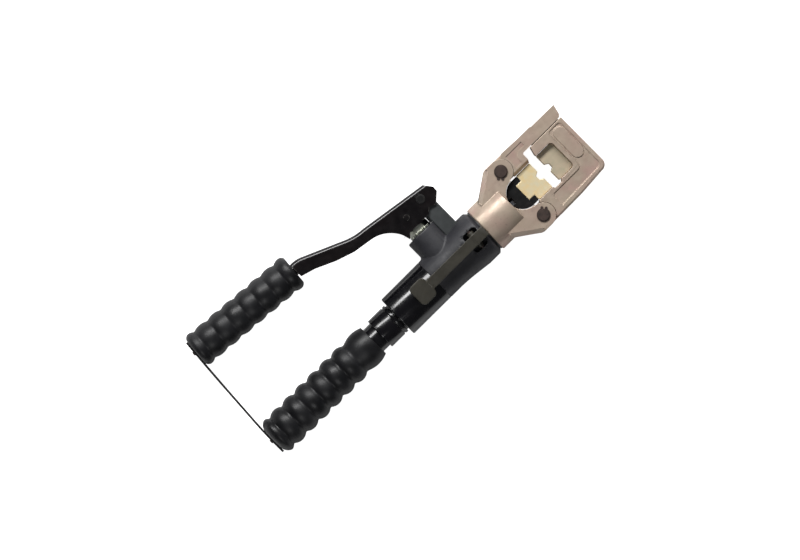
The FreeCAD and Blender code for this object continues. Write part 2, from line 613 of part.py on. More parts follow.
# ---------------------------------------------------------------- head, ram and dies
def make_head_frame():
    body = new_body("head_frame")
    barrel = [
        ("socket_start + 0.1", 3), ("socket_start + 0.1", "socket_radius"), ("head_start", "socket_radius"),
        ("head_start", "barrel_radius - 1"), ("head_start + 1", "barrel_radius"), ("barrel_end - 0.8", "barrel_radius"),
        ("barrel_end", "barrel_radius - 0.8"), ("barrel_end", 3),
    ]
    spin(body, outline(sketch(body), barrel))
    for side in (1, -1):
        fork = [
            (312, 0), (312, side * 24.4), (314.5, side * 26.3), (335.8, side * 41.4), (341, side * 42.9, -side * 8),
            ("pin_x", f"{side} * (pin_y + boss_arc)"),
            ("pin_x + boss_arc", f"{side} * pin_y", f"-{side} * boss_arc"),
            ("pin_x", f"{side} * (pin_y - boss_arc)", f"-{side} * boss_arc"),
            ("slot_x", f"{side} * slot_half"), ("slot_x - slot_half", 0, f"{side} * slot_half"),
        ]
        add(body, outline(sketch(body), fork), "2 * fork_half")
        slope = Vector(314.5, side * 26.3), Vector(335.8, side * 41.4)
        sloped(body, *slope, side, number("fork_half"), (4.2, 9.5), 34)
    end = "pin_x + boss_arc + 8"
    for side in (1, -1):
        slot = [
            ("clevis_start", side * 14), (end, side * 14), (end, side * 50), ("clevis_start", side * 50),
        ]
        cut(body, outline(sketch(body), slot), "2 * clevis_half")
    for side in (1, -1):
        cut(body, circle(sketch(body), "pin_x", f"{side} * pin_y", "pin_radius + seat_gap"), 60)
    cylinder = [
        ("cylinder_start", 0), ("cylinder_start", "cylinder_radius + running_gap"),
        ("barrel_end - 3.4", "cylinder_radius + running_gap"), ("barrel_end - 3.4", "rod_radius + running_gap"),
        ("barrel_end + 3", "rod_radius + running_gap"), ("barrel_end + 3", 0),
    ]
    bore(body, outline(sketch(body), cylinder))


def make_head_hardware():
    turned("head_seal_ring", [
        ("body_end + 0.05", 20), ("body_end + 0.05", 24.6), ("head_start - 0.05", 24.6), ("head_start - 0.05", 20),
    ])
    turned("head_lock_screw", [(-25.2, 1.2), (-25.2, 2.5), (-17, 2.5), (-17, 0), (-22, 0), (-22, 1.2)],
           ("socket_start + 5", 0, 0), ALONG_Z)
    half = number("fork_half")
    for name, side in (("latch_pin", 1), ("yoke_pin", -1)):
        ring = [(half + 0.05, "pin_radius"), (half + 0.05, "pin_radius - 0.6"), (half + 1.1, "pin_radius - 0.6")]
        end = [(half + 1.1, "pin_radius"), (half + 1.6, "pin_radius"), (half + 2, "pin_radius - 0.4"), (half + 2, 0)]
        start = [(-x, radius) for x, radius in reversed(end)]
        back = [(-x, radius) for x, radius in reversed(ring)]
        turned(name, start + back + ring + end, ("pin_x", f"{side} * pin_y", 0), ALONG_Z)


def clip_ring(x, y, z, inside, outside, ear_angle, thickness=0.9):
    """One retaining ring: an open ring with two ears at its gap."""
    centre = Vector(x, y, z)
    ring = Part.makeCylinder(outside, thickness, centre).cut(Part.makeCylinder(inside, thickness, centre))
    for offset in (-17, 17):
        angle = math.radians(ear_angle + offset)
        spot = centre + Vector(math.cos(angle), math.sin(angle), 0) * (outside + 0.4)
        ring = ring.fuse(Part.makeCylinder(1.5, thickness, spot))
    gap = Part.makeBox(outside + 3, 1.6, thickness, centre + Vector(inside - 1, -0.8, 0))
    gap.rotate(centre, Vector(0, 0, 1), ear_angle)
    hollow = Part.makeCylinder(inside, thickness, centre)
    return ring.cut(gap).cut(hollow).removeSplitter()


def ring_group(label, rings):
    group = doc.addObject("Part::Feature", label)
    group.Label = label
    group.Shape = Part.makeCompound(rings)
    settle(group)
    return keep(group)


def make_clips():
    level, inside = number("fork_half") + 0.1, number("pin_radius") - 0.58
    rings = []
    for side, ears in ((1, 222), (-1, 42)):
        for z in (level, -level - 0.9):
            rings.append(clip_ring(number("pin_x"), side * number("pin_y"), z, inside, inside + 1.5, ears))
    ring_group("pin_clips", rings)
    level, inside = number("pivot_pin_half") - 1.2, number("pivot_pin") - 0.58
    rings = [clip_ring(number("pivot_x"), number("pivot_y"), z, inside, inside + 1.3, 90, 0.7)
             for z in (level, -level - 0.7)]
    ring_group("lever_pin_clips", rings)


def make_ram():
    start = number("piston_start")
    turned("ram", [
        (start, 0), (start, 11.6), (start + 0.4, "cylinder_radius"), (start + 2.4, "cylinder_radius"),
        (start + 2.4, "cylinder_radius - 2.2"), (start + 5.2, "cylinder_radius - 2.2"),
        (start + 5.2, "cylinder_radius"), ("piston_start + piston_length", "cylinder_radius"),
        ("piston_start + piston_length", "rod_radius"), (339.4, "rod_radius"), (339.4, 4), (346, 4), (346, 0),
    ])
    turned("ram_seal", sleeve(start + 2.5, start + 5.1, "cylinder_radius - 2.1", "cylinder_radius - 0.02"))
    coil("ram_return_spring", 12, 1.1, "barrel_end - 5.9 - piston_start - piston_length", 4,
         ("piston_start + piston_length + 1.2", 0, 0), COIL_ALONG_X)
    body = new_body("die_holder")
    radius, back = 16.35, 334.8
    centre = back + radius
    reach = math.sqrt(radius ** 2 - (centre - number("holder_front")) ** 2)
    prongs = [
        ("holder_front", -reach, radius), ("holder_front", "-prong_outside"), ("prong_end - 1", "-prong_outside"),
        ("prong_end", "-prong_outside + 1", 1), ("prong_end", "-prong_inside - 1"),
        ("prong_end - 1", "-prong_inside", 1), ("holder_front", "-prong_inside"), ("holder_front", "prong_inside"),
        ("prong_end - 1", "prong_inside"), ("prong_end", "prong_inside + 1", 1), ("prong_end", "prong_outside - 1"),
        ("prong_end - 1", "prong_outside", 1), ("holder_front", "prong_outside"), ("holder_front", reach),
        (back, 0, radius),
    ]
    add(body, outline(sketch(body), prongs), "2 * die_thick")
    hollow = [(330, 0), (330, 9.3), (339.5, 9.3), (339.5, 4.02), (360, 4.02), (360, 0)]
    bore(body, outline(sketch(body), hollow))
    window = [(330, -2.4), (339, -2.4), (339, 4.4), (330, 4.4)]
    cut(body, outline(sketch(body), window), "2 * die_thick + 1")
    turned("holder_screw", [(346.1, 0), (346.1, 3.95), (350.2, 3.95), (350.2, 1.6), (348, 1.6), (348, 0)])


def nest(face, direction):
    """Half of a hexagonal nest, as the points that an outline takes across a die's face."""
    floor = f"{face} + {direction} * nest_depth"
    mouth = [(face, "-nest_mouth"), (floor, "-nest_floor"), (floor, "nest_floor"), (face, "nest_mouth")]
    return mouth if direction < 0 else mouth[::-1]


def make_dies():
    body = new_body("lower_die")
    shape = [
        ("holder_front + 0.1", "-prong_inside + 0.1"), ("prong_end", "-prong_inside + 0.1"),
        ("prong_end + 0.1", "-die_half + 1"), ("prong_end + 1.1", "-die_half"), ("lower_face - 0.6", "-die_half"),
        ("lower_face", "-die_half + 0.6"), *nest("lower_face", -1),
        ("lower_face", "die_half - 0.6"), ("lower_face - 0.6", "die_half"), ("prong_end + 1.1", "die_half"),
        ("prong_end + 0.1", "die_half - 1"), ("prong_end", "prong_inside - 0.1"),
        ("holder_front + 0.1", "prong_inside - 0.1"),
    ]
    add(body, outline(sketch(body), shape), "2 * die_thick")
    bevelled(body, 0.5, on_face(number("die_thick")))
    body = new_body("upper_die")
    corner = 4
    shape = [
        ("upper_face + 0.6", "-die_half"), (f"upper_back - {corner}", "-die_half"),
        ("upper_back", f"-die_half + {corner}", corner), ("upper_back", f"die_half - {corner}"),
        (f"upper_back - {corner}", "die_half", corner), ("upper_face + 0.6", "die_half"),
        ("upper_face", "die_half - 0.6"), *nest("upper_face", 1), ("upper_face", "-die_half + 0.6"),
    ]
    add(body, outline(sketch(body), shape), "2 * die_thick")
    bevelled(body, 0.5, on_face(number("die_thick")))


# ---------------------------------------------------------------- yoke and latch
def recess(body, points, depth):
    """A shallow sunk panel on the upper and the lower face of a jaw."""
    for side in (1, -1):
        cut(body, outline(sketch(body, at=(0, 0, f"{side} * jaw_half")), points), f"2 * {depth}")


def jaw_tongue(body, side, reach):
    """The hinge eye of yoke or latch, which turns between the fork's cheeks."""
    inner, outer = side * number("slot_half"), side * 42.4
    eye = [
        ("pin_x", f"{side} * (pin_y - tongue_arc)", f"{side} * tongue_arc"), (reach, inner + side), (reach, outer),
        ("pin_x", f"{side} * (pin_y + tongue_arc)"),
        ("pin_x - tongue_arc", f"{side} * pin_y", f"{side} * tongue_arc"),
    ]
    add(body, outline(sketch(body), eye), "2 * tongue_half")
    cut(body, circle(sketch(body), "pin_x", f"{side} * pin_y", "pin_radius + running_gap"), 60)


def make_yoke():
    """The swing-out jaw: a U-shaped frame round the dies, hinged at the lower pin."""
    body = new_body("yoke")
    frame = [
        (358.4, -40.09, "-clear_arc"), (363.3, -42.5), (393, -42), (422.5, -39.8), ("yoke_end", -32.2, 7.6),
        ("yoke_end", "leg_top"), ("leg_start + 2", "leg_top"), ("leg_start", 19.2),
        ("leg_start", "slot_half"), ("die_pocket - 4.2", "slot_half"), ("die_pocket", "slot_half - 4.2", -4.2),
        ("die_pocket", "-slot_half + 4.2"), ("die_pocket - 4.2", "-slot_half", -4.2), (388, "-slot_half"),
        (386.6, -19.4), (377.6, -19.4), (376.2, "-slot_half"), (356.8, "-slot_half"), (356.8, -19.34),
    ]
    add(body, outline(sketch(body), frame), "2 * jaw_half")
    level = number("jaw_half")
    bevelled(body, 1.6, lambda edge: on_face(level)(edge) and edge.BoundBox.XMin > 363
             and (edge.BoundBox.YMax < -32 or edge.BoundBox.XMin > 430))
    panel = [
        (370.5, -36.6), (421, -34.8), (426.6, -29.4, 5.4), (426.6, 21.8), (423.6, 24.8, 3), (413.8, 24.8),
        (410.8, 21.8, 3), (410.8, -17.4), (405.8, -22.4, -5), (373.7, -22.4), (370.5, -25.6, 3.2),
    ]
    recess(body, panel, "panel_depth")
    x, y, radius, straight = "badge_x", "badge_y", "badge_radius", "(badge_half - badge_radius)"
    badge = [
        (f"{x} + {radius}", f"{y} + {straight}"), (x, f"{y} + badge_half", radius),
        (f"{x} - {radius}", f"{y} + {straight}", radius), (f"{x} - {radius}", f"{y} - {straight}"),
        (x, f"{y} - badge_half", radius), (f"{x} + {radius}", f"{y} - {straight}", radius),
    ]
    add(body, outline(sketch(body), badge), "2 * (jaw_half - panel_depth + badge_height)")
    jaw_tongue(body, -1, 366)
    groove = [
        ("hook_start - hook_gap", "leg_top - hook_depth - 0.3"), ("yoke_end + 5", "leg_top - hook_depth - 0.3"),
        ("yoke_end + 5", 30), ("hook_start - hook_gap", 30),
    ]
    cut(body, outline(sketch(body), groove), 15)
    channel = [(389.6, "leg_top - 1"), ("hook_start", "leg_top - 1"), ("hook_start", 30), (389.6, 30)]
    cut(body, outline(sketch(body), channel), 6)
    bore(body, outline(sketch(body), sleeve("die_pocket - 1", "die_pocket + 9", 0, 2.52)))
    detent = [("die_pocket + 0.05", 0), ("die_pocket + 0.05", 1.4), ("die_pocket + 1.2", 2.5),
              ("die_pocket + 8.5", 2.5), ("die_pocket + 8.5", 0)]
    turned("upper_die_detent", detent)


def make_latch():
    """The hook-ended bar that holds the yoke shut, hinged at the upper pin."""
    body = new_body("latch")
    bar = [
        (356.8, 16.9), (376.5, 16.9), (378.1, 20.5), (378.1, 26), (380.1, "latch_under", -2), (429, "latch_under"),
        (432.4, 32.3, 5.5), (434.4, 40.5), (433.8, 41), (402.6, 41.2), (401.6, 42), (383, 42.2), (363.3, 43),
        (358.4, 40.09), (356.8, 19.34, "-clear_arc"),
    ]
    add(body, outline(sketch(body), bar), "2 * jaw_half")
    pocket = [
        (363.6, 22), (371.9, 22), (371.9, 26.3), (378.2, 32.6, -6.3), (385.4, 32.6), (385.4, 37.8), (363.6, 37.8),
    ]
    recess(body, pocket, 0.9)
    for side in (1, -1):
        face = f"{side} * (jaw_half + 0.5)"
        slope = [(16.5, f"{side} * (die_thick + 0.5)"), (20.6, face), (16.5, face)]
        cut(body, outline(sketch(body, "YZ_Plane", at=(0, 0, 367)), slope), 30)
    jaw_tongue(body, 1, 366)
    tooth = [
        ("hook_start", 30), ("hook_start", "leg_top - hook_depth"), (427, "leg_top - hook_depth"), (428, 30),
    ]
    add(body, outline(sketch(body), tooth), 14)
    rib = [(390.5, 29), (390.5, "leg_top - 0.5"), ("hook_start + 1", "leg_top - 0.5"), ("hook_start + 1", 29)]
    add(body, outline(sketch(body), rib), 5)
    cut(body, circle(sketch(body, at=(0, 0, 6)), "pin_x", "pin_y", 8.6), 7)
    sloped(body, Vector(432.4, 32.3), Vector(434.4, 40.5), -1, number("jaw_half"), (1.4, 1.6), 14)
    coil("latch_spring", 7.4, 0.7, 3.4, 3, ("pin_x", "pin_y", 3.6))


make_main_grip()
make_handle()
make_lever_grip()
make_strap()
make_reservoir()
make_pump_body()
make_bracket()
make_gland()
make_plunger()
make_valves()
make_release_lever()
make_pump_lever()
make_head_frame()
make_head_hardware()
make_clips()
make_ram()
make_dies()
make_yoke()
make_latch()
doc.recompute()

# ---------------------------------------------------------------- checks and files
for thing in doc.Objects:
    if "Invalid" in thing.State or "Error" in thing.State:
        raise RuntimeError(f"{thing.Name} failed: {thing.State}")
for thing in exported:
    if thing.Shape.isNull() or not thing.Shape.isValid() or not thing.Shape.Solids:
        raise RuntimeError(f"{thing.Label} has no valid solid")

os.makedirs("parts", exist_ok=True)
box = FreeCAD.BoundBox()
for thing in exported:
    thing.Shape.exportStep(f"parts/{thing.Label}.step")
    box.add(thing.Shape.BoundBox)
print(f"{len(exported)} nodes, box {box}")
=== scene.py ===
"""Looks for the hydraulic crimping tool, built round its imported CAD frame.

The helper at() reads millimetres on the tool's own axes: x from the main grip's end along the grip, the
pump body and the ram, y towards the pump lever and z up. Everything else is in metres.
"""
import json
import math
import bpy
from mathutils import Matrix, Vector


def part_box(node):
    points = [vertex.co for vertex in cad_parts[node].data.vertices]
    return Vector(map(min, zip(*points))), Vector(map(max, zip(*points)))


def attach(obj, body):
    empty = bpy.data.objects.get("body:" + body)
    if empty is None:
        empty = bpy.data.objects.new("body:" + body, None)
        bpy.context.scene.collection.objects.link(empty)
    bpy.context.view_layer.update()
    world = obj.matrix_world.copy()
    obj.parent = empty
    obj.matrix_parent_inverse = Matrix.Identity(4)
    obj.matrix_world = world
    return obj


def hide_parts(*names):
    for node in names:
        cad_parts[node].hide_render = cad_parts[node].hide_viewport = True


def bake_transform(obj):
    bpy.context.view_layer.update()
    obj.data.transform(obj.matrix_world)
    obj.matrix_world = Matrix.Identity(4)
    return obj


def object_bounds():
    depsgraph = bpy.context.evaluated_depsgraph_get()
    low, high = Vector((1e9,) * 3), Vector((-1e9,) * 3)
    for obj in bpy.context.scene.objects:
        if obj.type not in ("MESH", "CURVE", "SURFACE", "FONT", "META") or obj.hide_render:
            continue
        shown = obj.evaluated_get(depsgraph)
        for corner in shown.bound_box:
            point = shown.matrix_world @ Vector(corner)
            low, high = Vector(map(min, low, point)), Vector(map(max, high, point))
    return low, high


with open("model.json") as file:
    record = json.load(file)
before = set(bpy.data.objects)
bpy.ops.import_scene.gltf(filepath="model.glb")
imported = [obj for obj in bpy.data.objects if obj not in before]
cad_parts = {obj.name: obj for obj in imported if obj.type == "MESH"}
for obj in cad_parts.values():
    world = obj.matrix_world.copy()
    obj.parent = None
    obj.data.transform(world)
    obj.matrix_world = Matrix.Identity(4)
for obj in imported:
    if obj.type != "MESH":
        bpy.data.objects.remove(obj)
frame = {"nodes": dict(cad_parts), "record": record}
cad_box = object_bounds()
nodes = frame["nodes"]

MM = 0.001
grip_low, grip_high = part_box("main_grip")
AXIS = Vector((grip_low.x, (grip_low.y + grip_high.y) / 2, (grip_low.z + grip_high.z) / 2))


def at(x, y, z=0.0):
    """A point given in millimetres on the tool's own axes."""
    return AXIS + Vector((x, y, z)) * MM


def add_object(name, data):
    """Make an object that shows the data, and put it in the scene."""
    made_object = bpy.data.objects.new(name, data)
    bpy.context.scene.collection.objects.link(made_object)
    return made_object


def smooth_piece(name, vertices, faces):
    """A smooth-shaded mesh object of the vertices and faces."""
    mesh = bpy.data.meshes.new(name)
    mesh.from_pydata(vertices, [], faces)
    mesh.validate()
    for polygon in mesh.polygons:
        polygon.use_smooth = True
    return add_object(name, mesh)


# ---------------------------------------------------------------- camera, lights and floor
PICTURE_TURN = math.radians(-44.7)
PICTURE_CENTRE = at(202.5, 24.3)
PICTURE_WIDTH = 0.8
CAMERA_HEIGHT = 8.0
STUDIO_GLOW = 0.075
# each softbox: its direction from the tool, distance, size and power
SOFTBOXES = {
    "key": (Vector((0.37, 0.65, 0.67)), 1.6, (1.9, 0.4), 35),
    "fill": (Vector((-0.46, -0.41, 0.79)), 1.5, (0.7, 0.4), 3),
}
FLOOR_REACH = 2.5
# the floor's own glow, as it lights the tool and as the camera sees it
FLOOR_GLOW, FLOOR_WHITE = 0.12, 0.95


def make_camera():
    """A camera that looks straight down on the tool, turned so that the head is at the upper right."""
    data = bpy.data.cameras.new("camera")
    data.sensor_width = 36
    data.lens = data.sensor_width * CAMERA_HEIGHT / PICTURE_WIDTH
    camera = add_object("camera", data)
    camera.location = PICTURE_CENTRE + Vector((0, 0, CAMERA_HEIGHT))
    camera.rotation_euler = (0, 0, PICTURE_TURN)
    bpy.context.scene.camera = camera


def softbox(name, way, distance, size, power):
    """A rectangular area light that faces the tool from the direction way, its long side along the tool."""
    data = bpy.data.lights.new(name, "AREA")
    data.shape = "RECTANGLE"
    data.size, data.size_y = size
    data.energy = power
    light = add_object(name, data)
    facing = way.normalized()
    light.location = PICTURE_CENTRE + facing * distance
    along = (Vector((1, 0, 0)) - facing * facing.x).normalized()
    light.rotation_euler = Matrix((along, facing.cross(along), facing)).transposed().to_euler()


def make_stage():
    """The studio: a dim world, two softboxes and a white paper floor."""
    scene = bpy.context.scene
    scene.view_settings.view_transform = "Standard"
    world = bpy.data.worlds.new("studio")
    scene.world = world
    world.use_nodes = True
    background = world.node_tree.nodes["Background"]
    background.inputs["Color"].default_value = (0.93, 0.95, 1.0, 1)
    background.inputs["Strength"].default_value = STUDIO_GLOW
    for name, (way, distance, size, power) in SOFTBOXES.items():
        softbox(name, way, distance, size, power)
    mesh = bpy.data.meshes.new("floor")
    level = cad_box[0][2]
    corners = [(x * FLOOR_REACH, y * FLOOR_REACH, level) for x, y in ((-1, -1), (1, -1), (1, 1), (-1, 1))]
    mesh.from_pydata(corners, [], [(0, 1, 2, 3)])
    floor = add_object("floor", mesh)
    paper = Finish("floor_paper", (0.8, 0.8, 0.8), 0.9)
    paper.put("Emission Color", (1, 1, 1, 1))
    seen = paper.tree.nodes.new("ShaderNodeLightPath").outputs["Is Camera Ray"]
    paper.join(paper.scaled(seen, 0, 1, FLOOR_GLOW, FLOOR_WHITE), "Emission Strength")
    mesh.materials.append(paper.material)


# ---------------------------------------------------------------- materials
class Finish:
    """A Principled material whose colour, roughness and relief come from patterns in object space."""

    def __init__(self, name, colour, roughness, metallic=0.0):
        self.material = bpy.data.materials.new(name)
        self.material.use_nodes = True
        self.tree = self.material.node_tree
        self.surface = self.tree.nodes["Principled BSDF"]
        self.place = self.tree.nodes.new("ShaderNodeTexCoord").outputs["Object"]
        self.relief = None
        self.put("Base Color", (*colour, 1))
        self.put("Roughness", roughness)
        self.put("Metallic", metallic)

    def put(self, socket, value):
        """Set one of the shader's sockets to a plain value."""
        self.surface.inputs[socket].default_value = value

    def join(self, output, socket):
        """Feed one of the shader's sockets from a pattern."""
        self.tree.links.new(output, self.surface.inputs[socket])

    def stretched(self, scale):
        """Object space, stretched by a scale along each axis."""
        node = self.tree.nodes.new("ShaderNodeMapping")
        node.inputs["Scale"].default_value = scale
        self.tree.links.new(self.place, node.inputs["Vector"])
        return node.outputs["Vector"]

    def noise(self, scale, detail=3.0, place=None):
        """Cloudy noise with scale cells to the metre."""
        node = self.tree.nodes.new("ShaderNodeTexNoise")
        node.inputs["Scale"].default_value = scale
        node.inputs["Detail"].default_value = detail
        node.inputs["Roughness"].default_value = 0.55
        self.tree.links.new(place or self.place, node.inputs["Vector"])
        return node.outputs["Fac"]

    def scaled(self, value, start, end, low, high):
        """A value's range from start to end, mapped to low to high and held there."""
        node = self.tree.nodes.new("ShaderNodeMapRange")
        for name, number in (("From Min", start), ("From Max", end), ("To Min", low), ("To Max", high)):
            node.inputs[name].default_value = number
        self.tree.links.new(value, node.inputs["Value"])
        return node.outputs["Result"]

    def math(self, operation, first, second):
        """A sum on two inputs, each a number or a pattern."""
        node = self.tree.nodes.new("ShaderNodeMath")
        node.operation = operation
        for socket, value in zip(node.inputs, (first, second)):
            if isinstance(value, (int, float)):
                socket.default_value = value
            else:
                self.tree.links.new(value, socket)
        return node.outputs["Value"]

    def mixed(self, factor, first, second):
        """A blend of two colours, each a plain colour or another blend."""
        node = self.tree.nodes.new("ShaderNodeMix")
        node.data_type = "RGBA"
        self.tree.links.new(factor, node.inputs["Factor"])
        for socket, value in ((node.inputs[6], first), (node.inputs[7], second)):
            if isinstance(value, tuple):
                socket.default_value = (*value, 1)
            else:
                self.tree.links.new(value, socket)
        return node.outputs[2]

    def edges(self, radius, start=0.02, end=0.25):
        """How near a point is to a sharp edge, from 0 to 1."""
        bevel = self.tree.nodes.new("ShaderNodeBevel")
        bevel.samples = 6
        bevel.inputs["Radius"].default_value = radius
        geometry = self.tree.nodes.new("ShaderNodeNewGeometry")
        dot = self.tree.nodes.new("ShaderNodeVectorMath")
        dot.operation = "DOT_PRODUCT"
        self.tree.links.new(bevel.outputs["Normal"], dot.inputs[0])
        self.tree.links.new(geometry.outputs["Normal"], dot.inputs[1])
        return self.scaled(dot.outputs["Value"], 1 - start, 1 - end, 0, 1)

    def wear(self, radius, scale, start, end, low=0.0):
        """Where sharp edges are rubbed or chipped, from 0 to 1, in the patches of a noise; low lifts every
        sharp edge to at least that much, a painted edge highlight.
        """
        patches = self.scaled(self.noise(scale, 3), start, end, low, 1)
        return self.math("MULTIPLY", self.edges(radius), patches)

    def bump(self, height, distance, strength=1.0):
        """Add relief: height runs from 0 to 1 over distance, in metres."""
        node = self.tree.nodes.new("ShaderNodeBump")
        node.inputs["Strength"].default_value = strength
        node.inputs["Distance"].default_value = distance
        self.tree.links.new(height, node.inputs["Height"])
        if self.relief:
            self.tree.links.new(self.relief, node.inputs["Normal"])
        self.relief = node.outputs["Normal"]
        self.join(self.relief, "Normal")


def rubber(name, colour, roughness):
    """Moulded rubber: fine grain, with a bloom of dust in cloudy patches."""
    finish = Finish(name, colour, roughness)
    cloud = finish.noise(45, 4)
    bloom = tuple(channel * 1.9 + 0.004 for channel in colour)
    finish.join(finish.mixed(finish.scaled(cloud, 0.4, 0.75, 0, 1), colour, bloom), "Base Color")
    finish.join(finish.scaled(cloud, 0.3, 0.75, roughness - 0.06, roughness + 0.12), "Roughness")
    finish.put("Specular IOR Level", 0.38)
    finish.bump(finish.noise(260, 2), 0.0004, 0.25)
    finish.bump(finish.noise(2600, 2), 0.00008, 0.5)
    return finish


def enamel(name, colour, tint, roughness):
    """Gloss enamel with a faint orange peel and worn, greyer edges."""
    finish = Finish(name, colour, roughness)
    cloud = finish.noise(30, 3)
    body = finish.mixed(finish.scaled(cloud, 0.35, 0.7, 0, 1), colour, tint)
    chips = finish.wear(0.0009, 320, 0.45, 0.62)
    finish.join(finish.mixed(chips, body, (0.16, 0.15, 0.14)), "Base Color")
    finish.join(finish.scaled(finish.noise(120, 4), 0.3, 0.8, roughness, roughness + 0.16), "Roughness")
    finish.put("Coat Weight", 0.35)
    finish.put("Coat Roughness", 0.09)
    finish.bump(finish.noise(420, 2), 0.00006, 0.35)
    return finish


def casting(name, colour, light, roughness, metallic=0.0, grain=0.00022):
    """A painted or blackened casting: sandy grain, patchy colour and lighter sharp edges, partly rubbed wear
    in patches and partly a painted edge highlight all along them.
    """
    finish = Finish(name, colour, roughness, metallic)
    cloud = finish.scaled(finish.noise(70, 5), 0.35, 0.7, 0, 1)
    body = finish.mixed(cloud, colour, tuple(channel * 1.35 for channel in colour))
    # sharp edges take the light colour: rubbed wear in the noise's patches, and a painted edge highlight of
    # at least a quarter of it on every edge
    rubbed_and_highlit_edges = finish.wear(0.0012, 240, 0.3, 0.6, 0.25)
    finish.join(finish.mixed(rubbed_and_highlit_edges, body, light), "Base Color")
    patches = finish.noise(160, 4)
    finish.join(finish.scaled(patches, 0.3, 0.75, roughness - 0.07, roughness + 0.1), "Roughness")
    finish.bump(finish.noise(700, 4), grain, 0.5)
    finish.bump(finish.noise(90, 3), 0.0006, 0.25)
    return finish


# how far the head's sunk panels and its faces stand from its middle plane, in metres
PANEL_LEVEL, FACE_LEVEL = 0.0182, 0.0186


def bronze_paint(name):
    """Satin metallic paint: rosy in the head's sunk panels, beige on the sharp edges of what stands proud,
    partly worn in patches and partly a painted edge highlight.
    """
    base, khaki = (0.53, 0.425, 0.335), (0.44, 0.375, 0.275)
    rosy, beige, brown = (0.53, 0.37, 0.31), (0.70, 0.60, 0.49), (0.24, 0.19, 0.17)
    finish = Finish(name, base, 0.42, 0.35)
    split = finish.tree.nodes.new("ShaderNodeSeparateXYZ")
    finish.tree.links.new(finish.place, split.inputs["Vector"])
    rise = finish.math("ABSOLUTE", finish.math("SUBTRACT", split.outputs["Z"], AXIS.z), 0)
    sunk = finish.scaled(rise, PANEL_LEVEL, FACE_LEVEL, 1, 0)
    cloud = finish.scaled(finish.noise(55, 5), 0.4, 0.62, 0, 1)
    rosy_share = finish.math("MULTIPLY", finish.scaled(sunk, 0, 1, 0.6, 1.0), cloud)
    patchy = finish.mixed(finish.scaled(finish.noise(110, 3), 0.42, 0.6, 0, 0.55), base, khaki)
    body = finish.mixed(rosy_share, patchy, rosy)
    # sharp edges go beige: worn in the noise's patches, and a painted edge highlight of at least a fifth on
    # every edge
    worn_and_highlit = finish.mixed(finish.wear(0.0012, 300, 0.35, 0.6, 0.2), body, beige)
    dirt = finish.math("MULTIPLY", finish.scaled(finish.noise(420, 4), 0.6, 0.72, 0, 0.5), cloud)
    finish.join(finish.mixed(dirt, worn_and_highlit, brown), "Base Color")
    finish.join(finish.scaled(finish.noise(130, 4), 0.3, 0.75, 0.34, 0.52), "Roughness")
    finish.bump(finish.noise(520, 4), 0.00016, 0.45)
    finish.bump(finish.noise(80, 3), 0.0005, 0.2)
    return finish


def steel(name, colour, roughness, tint=None, along=(1, 1, 1), metallic=1.0):
    """Bare or plated steel with tool marks; along stretches them along an axis."""
    finish = Finish(name, colour, roughness, metallic)
    cloud = finish.scaled(finish.noise(140, 5), 0.35, 0.68, 0, 1)
    finish.join(finish.mixed(cloud, colour, tint or tuple(channel * 0.8 for channel in colour)), "Base Color")
    marks = finish.noise(900, 3, place=finish.stretched(along))
    finish.join(finish.scaled(marks, 0.3, 0.7, roughness - 0.06, roughness + 0.1), "Roughness")
    finish.bump(marks, 0.00005, 0.4)
    return finish


# each material slot's builder and what it is given after the slot's name
FINISHES = {
    "rubber_grip": (rubber, (0.006, 0.006, 0.007), 0.4),
    "rubber_strap": (rubber, (0.014, 0.014, 0.014), 0.5),
    "rubber_seal": (rubber, (0.02, 0.02, 0.02), 0.4),
    "black_gloss": (enamel, (0.002, 0.002, 0.003), (0.004, 0.0035, 0.005), 0.15),
    "lever_black": (enamel, (0.002, 0.0012, 0.0016), (0.005, 0.0026, 0.003), 0.2),
    "body_casting": (casting, (0.020, 0.020, 0.024), (0.11, 0.11, 0.11), 0.5),
    "bracket_grey": (casting, (0.042, 0.046, 0.047), (0.16, 0.17, 0.17), 0.45, 0.2, 0.0001),
    "release_olive": (casting, (0.036, 0.033, 0.025), (0.16, 0.15, 0.125), 0.45, 0.2, 0.0001),
    "holder_black": (casting, (0.004, 0.004, 0.004), (0.05, 0.05, 0.05), 0.42, 0.2, 0.00006),
    "head_bronze": (bronze_paint,),
    "zinc_plate": (steel, (0.62, 0.64, 0.56), 0.34, (0.5, 0.52, 0.42)),
    "pin_dark": (steel, (0.10, 0.07, 0.06), 0.42, (0.05, 0.04, 0.035), (1, 1, 1), 0.5),
    "steel_bright": (steel, (0.72, 0.73, 0.76), 0.16),
    "steel_spring": (steel, (0.42, 0.42, 0.44), 0.3),
    "die_gold": (steel, (0.88, 0.69, 0.37), 0.38, (0.82, 0.74, 0.52), (1, 6, 1), 0.25),
    "die_beige": (steel, (0.60, 0.50, 0.36), 0.38, (0.50, 0.45, 0.32), (1, 6, 1), 0.25),
    "tube_steel": (steel, (0.35, 0.35, 0.36), 0.35),
}

# how far the sharp edges of each CAD piece are broken, in metres
EDGE_BREAK = {
    "head_frame": 0.0005, "yoke": 0.0007, "pump_body": 0.0008, "lever_bracket": 0.0005,
    "release_lever": 0.0006, "gland_nut": 0.0004, "die_holder": 0.0004,
    "lower_die": 0.0003, "upper_die": 0.0003, "reservoir_cover": 0.0004, "tube_collar": 0.0003,
    "handle_tube": 0.0002, "ram": 0.0004,
}


